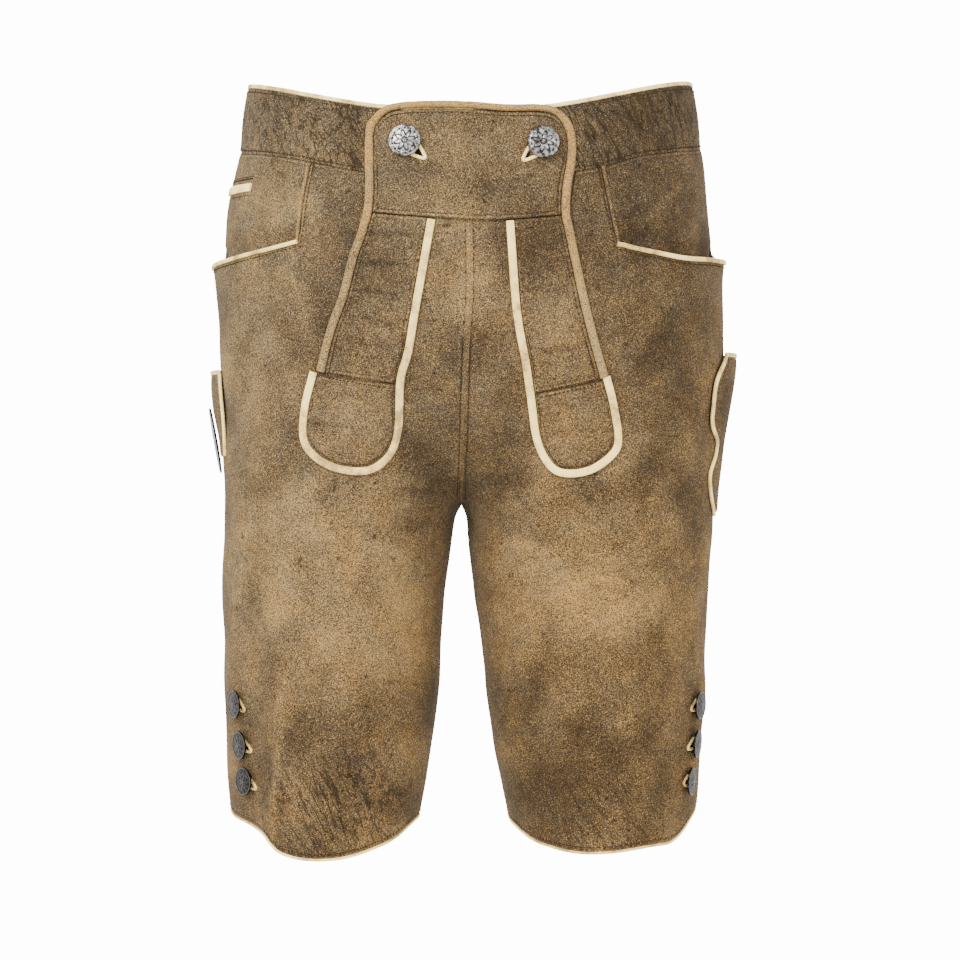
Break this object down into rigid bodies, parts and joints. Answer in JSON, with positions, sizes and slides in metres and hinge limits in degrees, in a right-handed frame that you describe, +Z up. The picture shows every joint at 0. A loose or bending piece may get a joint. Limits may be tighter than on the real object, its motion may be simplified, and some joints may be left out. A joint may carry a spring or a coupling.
{
  "type": "lederhosen",
  "caption": "Short leather breeches with a buttoned fall front, piped pockets and buttoned leg slits, worn hollow form.",
  "frame": {"origin": "middle of the waist opening, where the wearer's waist carries the garment", "axes": "+Z up, the front towards -Y, the wearer's right towards -X"},
  "size_m": [0.3804, 0.2603, 0.5505],
  "materials": {
    "leather": "vintage nubuck with a mottled brown patina",
    "leather_trim": "light brown rolled leather piping",
    "cream_trim": "cream leather piping, matte",
    "pewter": "aged pewter, satin, darker in the hollows",
    "gunmetal": "dark oxidised metal, pebbled"
  },
  "bodies": {
    "root": {"front_right": "leather", "front_left": "leather", "back_right": "leather", "back_left": "leather", "hip_right": "leather", "hip_left": "leather", "waistband_right": "leather", "waistband_left": "leather", "underlap_right": "leather", "underlap_left": "leather", "flap": "leather", "strip_right": "leather", "strip_left": "leather", "strip_end_right": "leather", "strip_end_left": "leather", "side_pocket_right": "leather", "side_pocket_left": "leather", "flap_piping": "leather_trim", "strip_piping_right": "cream_trim", "strip_piping_left": "cream_trim", "pocket_piping_right": "cream_trim", "pocket_piping_left": "cream_trim", "waist_piping_right": "cream_trim", "waist_piping_left": "cream_trim", "hem_piping_right": "cream_trim", "hem_piping_left": "cream_trim", "side_pocket_piping_right": "cream_trim", "side_pocket_piping_left": "cream_trim", "coin_welt": "cream_trim", "flap_binding_right": "cream_trim", "flap_binding_left": "cream_trim", "leg_binding_right_1": "cream_trim", "leg_binding_right_2": "cream_trim", "leg_binding_right_3": "cream_trim", "leg_binding_left_1": "cream_trim", "leg_binding_left_2": "cream_trim", "leg_binding_left_3": "cream_trim", "flap_button_right": "pewter", "flap_button_left": "pewter", "leg_button_right_1": "gunmetal", "leg_button_right_2": "gunmetal", "leg_button_right_3": "gunmetal", "leg_button_left_1": "gunmetal", "leg_button_left_2": "gunmetal", "leg_button_left_3": "gunmetal", "side_plate": "gunmetal"}
  },
  "joints": []
}
